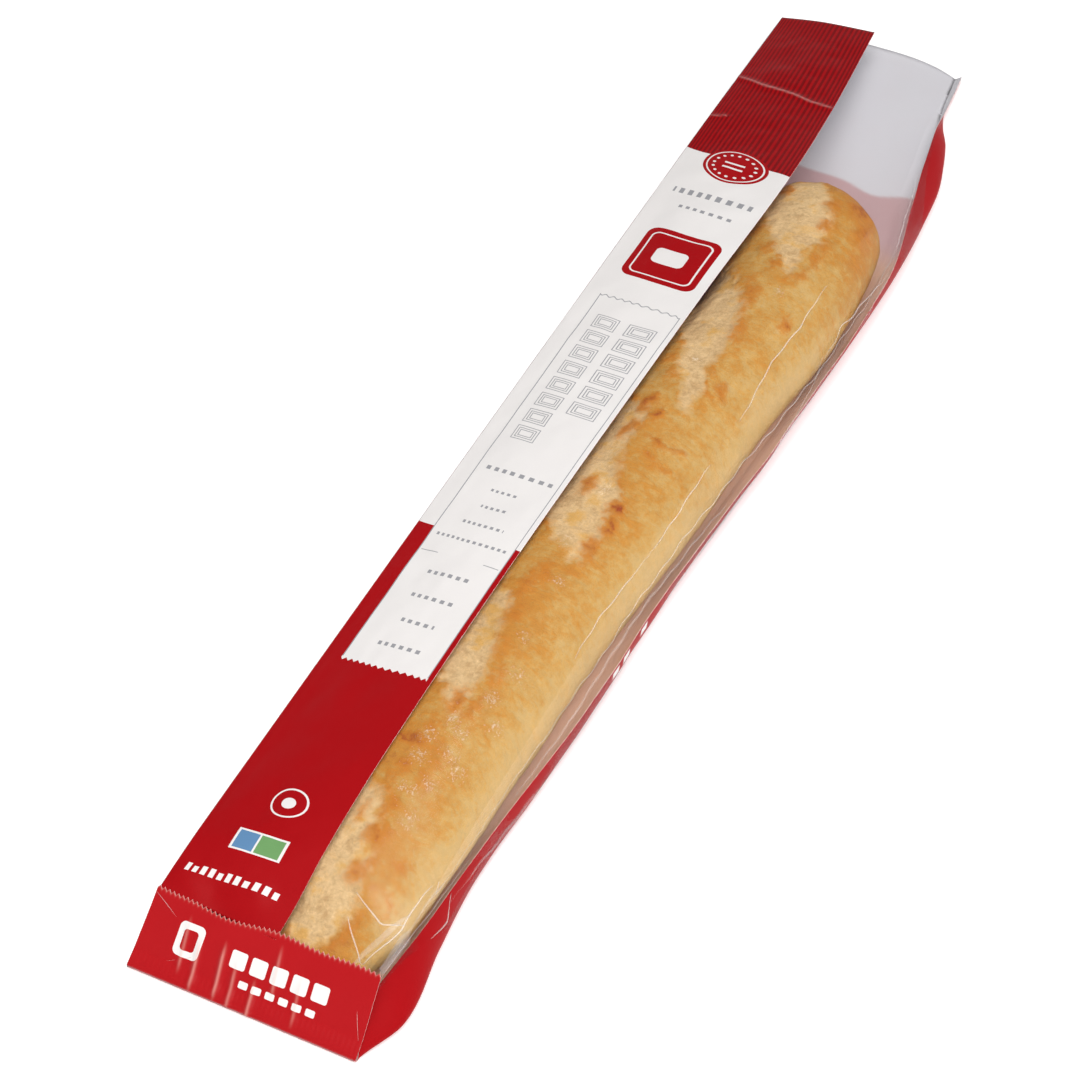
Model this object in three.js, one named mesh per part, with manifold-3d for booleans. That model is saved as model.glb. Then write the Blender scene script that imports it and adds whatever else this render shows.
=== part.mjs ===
// A baguette lying in a long gusseted bag: a printed paper web with a clear film window down one side.
// The folded and glued end of the bag is at low X, the open mouth at high X, and the bag lies on its back
// panel. Millimetres, +Z up, origin under the middle of the whole object.
import * as THREE from "three";
import { mergeVertices } from "three/addons/utils/BufferGeometryUtils.js";
import Module from "manifold-3d";

const wasm = await Module();
wasm.setup();

// Driving dimensions.
const BAG_LENGTH = 648; // from the bottom fold to the front panel's edge at the mouth
const LIP = 9; // how far the back panel's cut edge stands out past the front one's, which climbs over the loaf
const LIP_START = 624; // from here on the back panel runs out into its lip
const FACE = 96; // width of the flattened front and back faces
const GUSSET = 60; // each side gusset opened out flat, folded in half along its middle
const SHEET = 0.6; // thickness given to paper and film, which are far thinner
const GAP = 0.35; // clearance between neighbouring pieces
const FLAP_RISE = 26; // height of the folded-up end flap
const FLAP_LEAN = 0.85; // how far the flap leans along the bag for each unit it rises
const FLAP_BLEND = 70; // length over which the bag's edges straighten behind the leaning flap
const LOAF_START = 17;
const LOAF_LENGTH = 491;
const LOAF_HEIGHT = 44.4;
const LOAF_WIDTH = 63;
const LOAF_WAIST = 0.39; // height of the widest line of the loaf, as a share of its own height
const LOAF_SIDES = 36;

const HALF = FACE / 2;

// A smooth track along the bag: rows of [x, a, b, ...] give a function of x.
function track(rows) {
  const slope = (i, k) => {
    const low = rows[Math.max(i - 1, 0)];
    const high = rows[Math.min(i + 1, rows.length - 1)];
    return (high[k] - low[k]) / (high[0] - low[0]);
  };
  return (x) => {
    let i = rows.findIndex((row) => row[0] > x) - 1;
    if (i === -2) i = rows.length - 2;
    if (i < 0) i = 0;
    const [from, to] = [rows[i], rows[i + 1]];
    const span = to[0] - from[0];
    const t = THREE.MathUtils.clamp((x - from[0]) / span, 0, 1);
    const ease = t * t * (3 - 2 * t);
    return from.slice(1).map((value, n) => {
      const k = n + 1;
      const bend = span * (t * (1 - t) * (1 - t) * slope(i, k) - t * t * (1 - t) * slope(i + 1, k));
      return value + (to[k] - value) * ease + bend;
    });
  };
}

// Where each fold runs: [x, across, up].
const frontLeftFold = track([
  [0, HALF - 3.5, 24],
  [50, HALF - 5, 29],
  [500, HALF - 5, 30],
  [BAG_LENGTH, HALF + 4, 9],
]);
const paperEdge = track([
  [0, -5.5, 24],
  [20, -7.5, 31],
  [50, -9, 40],
  [100, -9.5, 46],
  [210, -9.5, 46.3],
  [390, -13.5, 46.5],
  [480, -16, 44.5],
  [560, -9, 30],
  [BAG_LENGTH, 1.5, 15.2],
]);
const filmCrown = track([
  [0, -28, 25.5],
  [20, -29, 33],
  [50, -30, 41.5],
  [100, -31, 46.8],
  [290, -33, 46.8],
  [400, -37.5, 47.2],
  [470, -38, 46],
  [520, -36, 38],
  [580, -30, 23.5],
  [BAG_LENGTH, -20, 11.7],
]);
const frontRightFold = track([
  [0, -HALF, 26],
  [20, -50, 31],
  [50, -51, 36],
  [120, -52, 39],
  [222, -53.5, 42],
  [364, -56.5, 42],
  [410, -58, 42],
  [470, -60, 38],
  [515, -60, 28],
  [560, -53.5, 20.5],
  [590, -48.8, 14.5],
  [620, -47, 9],
  [BAG_LENGTH, -44.3, 5.8],
]);
// How far the loaf pushes the film's side face out, between the seam and the front right fold.
const sideBulge = track([
  [0, 0.4],
  [240, 1.5],
  [320, 3.5],
  [370, 6.6],
  [440, 7],
  [480, 4.5],
  [520, 1.5],
  [570, 0.6],
  [BAG_LENGTH, 0.3],
]);
const rightSeam = track([
  [0, -43, 14],
  [55, -48, 16],
  [112, -51.5, 15],
  [175, -57.5, 15],
  [235, -59, 15],
  [325, -66.5, 15],
  [400, -71.5, 16],
  [470, -73, 18],
  [521, -65, 16],
  [560, -57.5, 13],
  [594, -52, 9],
  [618, -49.5, 5.5],
  [BAG_LENGTH, -46.5, 3.3],
]);
const rightBulge = track([
  [0, -HALF, 3],
  [20, -57, 4],
  [55, -54, 5],
  [90, -52, 5],
  [175, -57, 6],
  [240, -58, 6],
  [336, -65, 8],
  [417, -70, 9],
  [487, -73, 10],
  [530, -70.5, 7.5],
  [560, -67, 6],
  [588, -59.5, 4.2],
  [604, -52.5, 3.2],
  [618, -50.2, 2.7],
  [BAG_LENGTH, -47.2, 1.8],
]);
const backRightFold = track([
  [0, -HALF + 1, 0],
  [55, -49, 0],
  [240, -51, 0],
  [336, -57, 0],
  [487, -64, 0],
  [555, -61.5, 0],
  [590, -53, 0],
  [618, -48.4, 0],
  [BAG_LENGTH, -45.8, 0],
]);
const backLeftFold = track([
  [0, HALF, 0],
  [120, HALF - 2, 0],
  [470, HALF - 9, 0],
  [560, HALF - 6, 0],
  [BAG_LENGTH, HALF + 3, 0],
]);

// The loaf: [x, half width, height] as shares of the full ones, then where its middle line runs.
const loafSize = track([
  [0, 0.1, 0.34],
  [5, 0.5, 0.5],
  [13, 0.7, 0.6],
  [30, 0.87, 0.8],
  [55, 0.955, 0.94],
  [100, 1, 1],
  [380, 1.01, 1],
  [440, 0.97, 0.97],
  [468, 0.84, 0.86],
  [483, 0.61, 0.68],
  [489, 0.38, 0.52],
  [LOAF_LENGTH, 0.12, 0.4],
]);
const loafMiddle = track([
  [0, -17.5],
  [100, -18],
  [180, -20.5],
  [270, -26],
  [330, -30],
  [390, -38],
  [440, -38],
  [LOAF_LENGTH, -31],
]);

const stations = [0, 8, 20, 35, 50, 70, 95, 125, 160, 200, 240, 280, 320, 360, 400, 440, 475, 505, 530, 555,
  575, 591, 606, LIP_START, BAG_LENGTH];

const between = (a, b, steps) =>
  Array.from({ length: steps }, (_, i) => [a[0] + ((b[0] - a[0]) * i) / steps, a[1] + ((b[1] - a[1]) * i) / steps]);

// A smooth run through a few points, without its last one.
function through(points, steps) {
  const curve = new THREE.SplineCurve(points.map(([y, z]) => new THREE.Vector2(y, z)));
  return Array.from({ length: steps }, (_, i) => curve.getPoint(i / steps).toArray());
}

// The middle of the fold that tucks a flat gusset in, level with half its height.
function tuckedFold(top, bottom) {
  const half = GUSSET / 2;
  const chord = Math.hypot(top[0] - bottom[0], top[1] - bottom[1]) / 2;
  const depth = Math.sqrt(Math.max(half * half - chord * chord, 1));
  return [(top[0] + bottom[0]) / 2 - depth, (top[1] + bottom[1]) / 2];
}

// One section of the paper web: front edge, front left fold, tucked gusset, back panel, right gusset, seam.
function paperSection(x) {
  const onFloor = (fold) => [fold[0], SHEET / 2];
  const topLeft = frontLeftFold(x);
  const bottomLeft = onFloor(backLeftFold(x));
  const bottomRight = onFloor(backRightFold(x));
  const edge = paperEdge(x);
  const middle = tuckedFold(topLeft, bottomLeft);
  const crown = [edge[0] * 0.45 + topLeft[0] * 0.55, edge[1] * 0.45 + topLeft[1] * 0.55 + 1.2];
  const seam = rightSeam(x);
  const lip = LIP * Math.max((x - LIP_START) / (BAG_LENGTH - LIP_START), 0);
  const back = between(bottomLeft, bottomRight, 8).map(([y, z], i) => [y, z, lip * (1 - Math.abs(i / 4 - 1) ** 3)]);
  return [
    ...through([edge, crown, topLeft], 7),
    ...between(topLeft, middle, 3),
    ...between(middle, bottomLeft, 3),
    ...back,
    ...through([bottomRight, rightBulge(x), seam], 6),
    seam,
  ];
}

// One section of the film window, from the seam on the gusset over the front right fold to the paper's edge.
function filmSection(x) {
  const seam = rightSeam(x);
  const fold = frontRightFold(x);
  const edge = paperEdge(x);
  const start = [seam[0], seam[1] + SHEET + GAP];
  const end = [edge[0] - SHEET / 2 - GAP, edge[1]];
  const [bulge] = sideBulge(x);
  const side = [(start[0] + fold[0]) / 2 - bulge, (start[1] + fold[1]) / 2 + bulge / 3];
  return [...through([start, side, fold], 5), ...through([fold, filmCrown(x), end], 9), end];
}

// A closed sheet of even thickness over a grid of points: rows run along the bag, columns round it.
function sheetGeometry(rows) {
  const [deep, wide] = [rows.length, rows[0].length];
  const sides = [1, -1].map((side) => rows.map((row) => row.map((point, j) => {
    const before = row[Math.max(j - 1, 0)];
    const after = row[Math.min(j + 1, wide - 1)];
    const first = new THREE.Vector2(point.y - before.y, point.z - before.z).normalize();
    const second = new THREE.Vector2(after.y - point.y, after.z - point.z).normalize();
    const along = first.clone().add(second).normalize();
    const grown = Math.min(1 / Math.max(Math.abs(along.dot(second)), Math.abs(along.dot(first)), 0.3), 2.2);
    const reach = (side * SHEET * grown) / 2;
    return [point.x, point.y - along.y * reach, point.z + along.x * reach];
  })));
  const positions = sides.flat(3);
  const index = [];
  const at = (side, i, j) => side * deep * wide + i * wide + j;
  const quad = (a, b, c, d) => index.push(a, b, c, a, c, d);
  for (let i = 0; i < deep - 1; i += 1) {
    for (let j = 0; j < wide - 1; j += 1) {
      quad(at(0, i, j), at(0, i + 1, j), at(0, i + 1, j + 1), at(0, i, j + 1));
      quad(at(1, i, j), at(1, i, j + 1), at(1, i + 1, j + 1), at(1, i + 1, j));
    }
    quad(at(0, i, 0), at(1, i, 0), at(1, i + 1, 0), at(0, i + 1, 0));
    quad(at(0, i + 1, wide - 1), at(1, i + 1, wide - 1), at(1, i, wide - 1), at(0, i, wide - 1));
  }
  for (let j = 0; j < wide - 1; j += 1) {
    quad(at(0, 0, j + 1), at(1, 0, j + 1), at(1, 0, j), at(0, 0, j));
    quad(at(0, deep - 1, j), at(1, deep - 1, j), at(1, deep - 1, j + 1), at(0, deep - 1, j + 1));
  }
  return closedGeometry(positions, index);
}

// A geometry whose faces are turned outwards.
function closedGeometry(positions, index) {
  let volume = 0;
  const corner = (n) => new THREE.Vector3(...positions.slice(3 * n, 3 * n + 3));
  for (let i = 0; i < index.length; i += 3) {
    volume += corner(index[i]).dot(corner(index[i + 1]).cross(corner(index[i + 2])));
  }
  const geometry = new THREE.BufferGeometry();
  geometry.setAttribute("position", new THREE.Float32BufferAttribute(positions, 3));
  geometry.setIndex(volume > 0 ? index : index.reverse());
  return geometry;
}

// The tube's sections lean with the flap at the folded end and stand straight further on.
function tubeRows(section, start) {
  return stations.map((x) => {
    const ease = Math.max(1 - x / FLAP_BLEND, 0);
    return section(x).map(([y, z, lip = 0]) =>
      new THREE.Vector3(x + lip + ease * ease * (start + FLAP_LEAN * z), y, z));
  });
}

// The end flap: the back panel carried past the bottom fold and up over the end of the tube.
function flapRows() {
  const profile = [[6, SHEET / 2], [SHEET / 2, SHEET / 2], [FLAP_LEAN * 13, 13], [FLAP_LEAN * FLAP_RISE, FLAP_RISE]];
  const across = 8;
  return Array.from({ length: across + 1 }, (_, i) => {
    const share = i / across;
    return profile.map(([x, z]) => {
      const narrowing = 3.5 * (z / FLAP_RISE) * (1 - share);
      return new THREE.Vector3(x, HALF - narrowing - share * (FACE - narrowing), z);
    });
  });
}

// The flap's rows run across the bag, so its thickness is set in the plane that it is folded in.
function flapGeometry() {
  const turned = flapRows().map((row) => row.map((p) => new THREE.Vector3(p.y, p.x, p.z)));
  const geometry = sheetGeometry(turned);
  const position = geometry.getAttribute("position");
  const positions = [];
  for (let i = 0; i < position.count; i += 1) {
    positions.push(position.getY(i), position.getX(i), position.getZ(i));
  }
  return closedGeometry(positions, [...geometry.index.array]);
}

function solidFrom(geometry) {
  const merged = mergeVertices(geometry, 1e-3);
  return new wasm.Manifold(new wasm.Mesh({
    numProp: 3,
    vertProperties: merged.getAttribute("position").array,
    triVerts: new Uint32Array(merged.index.array),
  }));
}

function joined(geometries) {
  const solid = geometries.map(solidFrom).reduce((sum, piece) => sum.add(piece));
  const mesh = solid.getMesh();
  return closedGeometry([...mesh.vertProperties], [...mesh.triVerts]);
}

// The loaf: a flat-bottomed dome swept along a gently bent middle line, closed by a blunt end each way.
function loafGeometry() {
  const floor = SHEET + GAP;
  const steps = [0, 2, 5, 9, 14, 21, 30, 42, 58, 80, 110, 145, 180, 215, 250, 285, 320, 350, 380, 410, 435, 453,
    466, 475, 482, 487, LOAF_LENGTH];
  const positions = [];
  const index = [];
  for (const x of steps) {
    const [wide, high] = loafSize(x);
    const [middle] = loafMiddle(x);
    const top = LOAF_HEIGHT * high;
    const waist = LOAF_HEIGHT * LOAF_WAIST * (0.35 + 0.65 * high);
    for (let i = 0; i < LOAF_SIDES; i += 1) {
      const angle = (2 * Math.PI * i) / LOAF_SIDES;
      const up = Math.sin(angle);
      const z = up > 0 ? waist + (top - waist) * up : waist + waist * 1.12 * up;
      positions.push(LOAF_START + x, middle + 0.5 * LOAF_WIDTH * wide * Math.cos(angle), floor + Math.max(z, 0));
    }
  }
  const at = (i, j) => i * LOAF_SIDES + (j % LOAF_SIDES);
  for (let i = 0; i < steps.length - 1; i += 1) {
    for (let j = 0; j < LOAF_SIDES; j += 1) {
      index.push(at(i, j), at(i + 1, j), at(i + 1, j + 1), at(i, j), at(i + 1, j + 1), at(i, j + 1));
    }
  }
  for (const [row, flip] of [[0, false], [steps.length - 1, true]]) {
    for (let j = 1; j < LOAF_SIDES - 1; j += 1) {
      index.push(at(row, 0), at(row, flip ? j + 1 : j), at(row, flip ? j : j + 1));
    }
  }
  return closedGeometry(positions, index);
}

const crust = new THREE.MeshStandardMaterial({ color: 0xd8a552, roughness: 0.85, metalness: 0 });
const printedPaper = new THREE.MeshStandardMaterial({ color: 0xb5151c, roughness: 0.55, metalness: 0 });
const clearFilm = new THREE.MeshStandardMaterial({
  color: 0xf2f2f4,
  roughness: 0.12,
  metalness: 0,
  transparent: true,
  opacity: 0.2,
});

function named(name, geometry, material) {
  const mesh = new THREE.Mesh(geometry, material);
  mesh.name = name;
  return mesh;
}

const baguette = new THREE.Group();
baguette.add(named("loaf", loafGeometry(), crust));
baguette.add(named("paper_sleeve", joined([sheetGeometry(tubeRows(paperSection, 0)), flapGeometry()]), printedPaper));
baguette.add(named("window_film", sheetGeometry(tubeRows(filmSection, SHEET + 2 * GAP)), clearFilm));

// The origin goes under the middle of everything, at floor level.
const box = new THREE.Box3().setFromObject(baguette);
const centre = box.getCenter(new THREE.Vector3());
for (const mesh of baguette.children) {
  mesh.geometry.translate(-centre.x, -centre.y, -box.min.z);
}

export default baguette;
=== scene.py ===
"""A baguette in its long window bag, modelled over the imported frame: loaf, printed paper sleeve, end flap, film."""
import functools
import math

import bpy
import numpy as np
from bpy.props import FloatProperty, PointerProperty, StringProperty
from mathutils import Matrix, Vector


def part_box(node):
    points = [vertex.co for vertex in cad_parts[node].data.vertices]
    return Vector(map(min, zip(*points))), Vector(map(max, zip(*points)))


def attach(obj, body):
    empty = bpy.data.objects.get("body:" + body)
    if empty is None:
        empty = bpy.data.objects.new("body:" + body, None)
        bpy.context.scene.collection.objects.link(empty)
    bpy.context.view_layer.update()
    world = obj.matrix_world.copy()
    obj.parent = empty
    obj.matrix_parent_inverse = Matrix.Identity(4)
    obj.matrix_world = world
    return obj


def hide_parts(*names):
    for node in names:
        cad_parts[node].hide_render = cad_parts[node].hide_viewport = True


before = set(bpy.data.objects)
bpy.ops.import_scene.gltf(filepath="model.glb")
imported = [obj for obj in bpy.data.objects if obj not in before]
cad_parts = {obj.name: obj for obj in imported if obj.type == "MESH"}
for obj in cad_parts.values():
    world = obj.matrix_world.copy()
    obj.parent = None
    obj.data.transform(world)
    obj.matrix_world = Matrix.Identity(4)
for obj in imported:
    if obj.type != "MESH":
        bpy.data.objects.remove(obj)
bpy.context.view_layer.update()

SLEEVE_LOW, SLEEVE_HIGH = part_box("paper_sleeve")

bl_info = {
    "name": "Baguette in a window bag",
    "version": (1, 0, 0),
    "blender": (4, 5, 0),
    "location": "3D View > Sidebar > Baguette",
    "description": "Builds a baguette lying in a printed paper bag with a clear film window",
    "category": "Object",
}

MM = 0.001

# Shop coordinates: millimetres along the bag from its folded end, across it from its middle, and up from the floor.
FLAP_FACE = 0.3  # the flap's sheet stands this far behind the folded end
SLEEVE_SIDE = 52.66  # how far the sleeve's front left fold stands from the middle, at the mouth
ORIGIN = np.array([SLEEVE_LOW.x / MM + FLAP_FACE, SLEEVE_HIGH.y / MM - SLEEVE_SIDE, SLEEVE_LOW.z / MM])

BAG_LENGTH = 648.0
LIP = 9.0
FACE = 96.0
GUSSET = 60.0
FRONT_PRINT = 54.0  # printed width of the front panel, from its left fold to the window
SHEET = 0.6
GAP = 0.35
FILM_OFF = 0.55  # how far the film's web stands off the paper that it is glued to
LAP_OFF = 0.5
PAPER_BUCKLE = [(0.6, (34, 22, 9), 3), (0.42, (15, 11, 9), 4), (0.14, (6, 4, 9), 6)]  # height, size in mm, seed
FLAP_LEAN = 0.85
FLAP_BLEND = 70.0
FLAP_TOP = 26.0
FLAP_FOLD = (1.75, 1.57)  # the middle of the round bottom fold, behind the folded end and up from the floor
FLAP_FOLD_RADIUS = 1.45
FLAP_FOLD_TOP = 2.3
FLAP_TEETH = 46
FLAP_DIP = (0.3, 0.13)  # where the flap's pinked edge dips and how far to each side, as shares of its width
LOAF_START = 17.0
LOAF_LENGTH = 491.0
LOAF_HEIGHT = 44.4
LOAF_WIDTH = 63.0
LOAF_WAIST = 0.39
FAR = 30.0  # stands for no cut nearby


def rows(text):
    """Rows of numbers, parted by semicolons."""
    return [tuple(float(word) for word in row.split()) for row in text.split(";")]


# Where each fold and edge runs: rows of [along, across, up].
FRONT_LEFT_FOLD = rows("0 44.5 24; 50 43 29; 500 43 30; 648 52 9")
PAPER_EDGE = rows("""
    0 -5.5 24; 20 -7.5 31; 50 -9 40; 100 -9.5 46; 210 -9.5 46.3; 390 -13.5 46.5; 480 -16 44.5; 560 -9 30;
    648 1.5 15.2
""")
FILM_CROWN = rows("""
    0 -28 25.5; 20 -29 33; 50 -30 41.5; 100 -31 46.8; 290 -33 46.8; 400 -37.5 47.2; 470 -38 46; 520 -36 38;
    580 -30 23.5; 648 -20 11.7
""")
FRONT_RIGHT_FOLD = rows("""
    0 -48 26; 20 -50 31; 50 -51 36; 120 -52 39; 222 -53.5 42; 364 -56.5 42; 410 -58 42; 470 -60 38; 515 -60 28;
    560 -53.5 20.5; 590 -48.8 14.5; 620 -47 8.4; 648 -44.3 5.2
""")
SIDE_BULGE = rows("0 0.4; 240 1.5; 320 3.5; 370 6.6; 440 7; 480 4.5; 520 1.5; 570 0.6; 648 0.3")
RIGHT_SEAM = rows("""
    0 -43 14; 55 -48 16; 112 -51.5 15; 175 -57.5 15; 235 -59 15; 325 -66.5 15; 400 -71.5 16; 470 -73 18; 521 -65 16;
    560 -57.5 13; 594 -52 9; 618 -49.8 4.6; 648 -46.8 2.8
""")
RIGHT_BULGE = rows("""
    0 -48 3; 20 -57 4; 55 -54 5; 90 -52 5; 175 -57 6; 240 -58 6; 336 -65 8; 417 -70 9; 487 -73 10; 530 -70.5 7.5;
    560 -67 6; 588 -59.5 4.2; 604 -52.5 3; 618 -48.7 2.2; 648 -45.2 1.4
""")
BACK_RIGHT_FOLD = rows("""
    0 -47 0.3; 55 -49 0.3; 240 -51 0.3; 336 -57 0.3; 487 -64 0.3; 555 -61.5 0.3; 590 -52.6 0.3; 618 -47 0.3;
    648 -43.6 0.3
""")
BACK_LEFT_FOLD = rows("0 48 0.3; 120 46 0.3; 470 39 0.3; 560 42 0.3; 648 51 0.3")

# How wide the film's lap is along the bag, how much the print is skewed, and how far the pink inside reaches, across
# it: red ink showing through, darkened as painted shade.
FILM_LAP = rows("0 1.5; 36 2; 80 13; 480 14; 545 4; 575 1.5; 648 1.5")
PRINT_SKEW = rows("0 0; 60 0.1; 140 0.15; 220 0.2; 380 0.3; 500 0.32; 648 0")
PINK_EDGE = rows("-200 570; -160 549; -148 547; -134 542; -119 547; -100 548; -60 552; 60 552")

# The loaf: [along it, half width, height] as shares of the full ones, then where its middle line runs.
LOAF_SIZE = rows("""
    0 0.1 0.34; 5 0.5 0.5; 13 0.7 0.6; 30 0.87 0.8; 55 0.955 0.94; 100 1 1; 380 1.05 1; 440 1.05 0.98; 468 0.98 0.93;
    481 0.78 0.79; 488.5 0.48 0.58; 491 0.16 0.42
""")
LOAF_MIDDLE = rows("""
    0 -17.5; 100 -18; 180 -20.5; 270 -26; 330 -29; 390 -35; 440 -34.5; 468 -32; 481 -28; 491 -26
""")

# The baker's cuts as they opened in the oven, each a ring of [along, across] seen from above.
SCORES = [rows(ring) for ring in (
    "522 -6; 505 2; 470 -6; 451 -17; 435 -29; 417 -40; 432 -42; 454 -47; 479 -39; 500 -30; 520 -22",
    "431 -4; 413 -19; 396 -30; 378 -35; 353 -35; 334 -37; 316 -38; 329 -28; 345 -20; 365 -13; 390 -2; 415 4",
    "325 -6; 316 -17; 311 -24; 301 -22; 280 -23; 260 -32; 243 -35; 229 -35; 216 -29; 228 -24; 230 -16; 240 -4; 270 2;"
    " 300 2",
    "205 -4; 194 -13; 186 -18; 166 -23; 156 -25; 138 -25; 126 -24; 143 -10; 160 0; 185 4",
    "95 -6; 87 -13; 80 -20; 69 -23; 58 -26; 41 -28; 32 -26; 20 -20; 18 -11; 33 0; 64 3; 85 0",
)]

# Where the crust toasted darkest: rows of [along, across, half length, half width, strength] seen from above.
TOASTED = rows("""
    200 -18.7 9 4 1; 184 -22 8 4 0.8; 167 -25 7 3.5 0.7; 154 -28.5 7 3.5 0.75; 134 -27.5 10 2.6 0.9;
    111 -25 10 7 0.6; 110 -7.5 8 5 0.6; 99 -17.7 5 3.5 0.9; 90 -18.4 6 3.5 0.8; 80 -21 6 3.5 0.9; 75 -11.5 5 4 0.6;
    67 -24 6 4 0.8; 402 -31 6 4.5 1; 379 -35 7 4 0.8; 369 -38.5 5 3.5 0.7; 339 -43 6 4 0.9; 351 -15 5 4 0.8;
    338 -20.5 6 4 0.7; 318 -19 6 3.5 1.2; 309.6 -25 4.5 3 1.3; 300.5 -17.5 7 4 1; 262.6 -16 6 4 1.1;
    255 -33 4.5 3 1.5; 244 -34 5 3 1.2; 230 -33 7 3.5 1; 478 -40 5 4 0.9; 463 -44.5 6 3.5 0.9; 447 -48 6 3.5 0.8;
    435 -48.4 6 3.5 0.8; 424 -46 5 3.5 0.8; 435.5 -25 5 3 0.8; 425.5 -33 5 3 0.9; 410 -27 5 3 0.8; 390 -32 6 3.5 0.7;
    371 -36 5 3 0.7; 83.6 -20 4 3 0.8; 68 -24.6 5 3 0.8; 56 -26 5 3 0.7; 63 -33.6 4 3 0.6; 50 -37 5 3 0.6;
    297.2 -34 2.2 6 1; 296.4 -42 2.2 5 0.9; 288 -34 2.2 6 0.8; 285 -42 2.2 5 0.8; 500 -45 12 12 0.8;
    503 -22 9 12 0.7; 474 -58 15 6 1; 487 -51 10 7 1.1; 452 -62 14 5 0.6; 111 -13 2.6 9 1.3; 134 -21 8 3 1;
    91 -15 5 3 0.9; 68 -21 5 4 1; 52 -24 5 4 0.9; 210 -22 7 4 0.8; 120 -20 8 6 0.7; 98 -28 8 4 0.7; 484 -14 5 4 1;
    449 -14.5 5 4 0.8; 391 -51 4 2.6 1.3
""")
# Where flour from the bench still clings: rows of [along, across, radius].
FLOURED = rows("""
    104 -21 4.5; 114 -19 4.5; 121 -29 4.5; 133 -38.7 4; 111 -30.5 4.5; 89 -22 3.5; 89.5 -25.6 4; 106.5 -35.5 4.5;
    96 -30 4; 126 -24 4; 143 -32 4; 78 -30 4; 158 -36 4; 176 -30 3.5; 208 -30 3.5; 228 -22 3.5; 263 -24 3.5;
    352 -26 3.5; 408 -42 3.5
""")


def to_row(points):
    """Shop millimetres to metres in the object's own frame."""
    return (np.asarray(points, float) + ORIGIN) * MM


def along_track(track, x):
    """A smooth run through rows of [along, a, b, ...]: its values at each x."""
    track = np.array(track)
    last = len(track) - 1
    low = np.clip(np.searchsorted(track[:, 0], x, side="right") - 1, 0, last - 1)

    def slope(i):
        before, after = track[np.maximum(i - 1, 0)], track[np.minimum(i + 1, last)]
        return (after[:, 1:] - before[:, 1:]) / (after[:, :1] - before[:, :1])

    start, end = track[low], track[low + 1]
    span = end[:, :1] - start[:, :1]
    t = np.clip((x[:, None] - start[:, :1]) / span, 0, 1)
    climb = (end[:, 1:] - start[:, 1:]) * t * t * (3 - 2 * t)
    return start[:, 1:] + climb + span * (t * (1 - t) ** 2 * slope(low) - t * t * (1 - t) * slope(low + 1))


def through(points, shares):
    """A smooth run through a few tracks of points, sampled at shares of its length from 0 to 1."""
    points = np.stack(points, 1)
    count = points.shape[1]
    place = np.asarray(shares) * (count - 1)
    i = np.clip(place.astype(int), 0, count - 2)
    w = (place - i)[None, :, None]
    a, b = points[:, np.maximum(i - 1, 0)], points[:, i]
    c, d = points[:, i + 1], points[:, np.minimum(i + 2, count - 1)]
    leave, reach = (c - a) / 2, (d - b) / 2
    return (2 * b - 2 * c + leave + reach) * w**3 + (3 * c - 3 * b - 2 * leave - reach) * w**2 + leave * w + b


def stations(*spans):
    """Where the rings of points stand along the bag, from spans of (start, end, count)."""
    return np.unique(np.concatenate([np.linspace(*span) for span in spans]))


def straight(start, end, shares):
    shares = np.asarray(shares)[None, :, None]
    return start[:, None] * (1 - shares) + end[:, None] * shares


def ease(low, high, value):
    t = np.clip((value - low) / (high - low), 0, 1)
    return t * t * (3 - 2 * t)


def bell(t):
    return np.exp(-(t**2))


def mottle(points, size, seed):
    """Smooth, repeatable noise from -1 to 1 over points; size is the mm between its lumps, on each axis."""
    cell = np.asarray(points, float) / np.asarray(size, float) + 1000.0
    base = np.floor(cell).astype(np.int64)
    t = cell - base
    t = t * t * (3 - 2 * t)
    total = 0.0
    for corner in range(8):
        bit = np.array([corner >> k & 1 for k in range(3)])
        place = base + bit
        code = place[..., 0] * 374761393 + place[..., 1] * 668265263 + place[..., 2] * 2147483647 + seed * 1013904223
        code = (code ^ (code >> 13)) & 0x7FFFFFFF
        code = (code * 1274126177) & 0x7FFFFFFF
        code = (code ^ (code >> 16)) & 0xFFFF
        weight = np.prod(np.where(bit, t, 1 - t), axis=-1)
        total = total + weight * (code / 32767.5 - 1.0)
    return total


def mottles(points, *layers):
    """Adds layers of (height, size, seed) of that noise."""
    return sum(height * mottle(points, size, seed) for height, size, seed in layers)


def ring_distance(x, y, ring):
    """Signed distance in mm from points to a closed ring, negative inside it."""
    ring = np.asarray(ring, float)
    nearest = np.full(x.shape, 1e9)
    inside = np.zeros(x.shape, bool)
    for (ax, ay), (bx, by) in zip(ring, np.roll(ring, -1, 0)):
        ex, ey = bx - ax, by - ay
        t = np.clip(((x - ax) * ex + (y - ay) * ey) / (ex * ex + ey * ey), 0, 1)
        nearest = np.minimum(nearest, np.hypot(x - ax - t * ex, y - ay - t * ey))
        crosses = (ay > y) != (by > y)
        inside ^= crosses & (x < ax + (y - ay) * ex / (ey if ey else 1e-9))
    return np.where(inside, -nearest, nearest)


# ---------------------------------------------------------------------------------------------- meshes


def grid_normals(grid):
    along = np.gradient(grid, axis=0)
    around = np.gradient(grid, axis=1)
    normal = np.cross(along, around)
    return normal / np.maximum(np.linalg.norm(normal, axis=2, keepdims=True), 1e-9)


def new_object(name, data, place=(0, 0, 0), facing=None):
    """A new object in the scene, turned so that its own -Z looks at a point if one is given."""
    thing = bpy.data.objects.new(name, data)
    if facing is not None:
        turn = (Vector(facing) - Vector(place)).to_track_quat("-Z", "Y")
        thing.matrix_world = Matrix.Translation(place) @ turn.to_matrix().to_4x4()
    bpy.context.scene.collection.objects.link(thing)
    return thing


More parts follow.
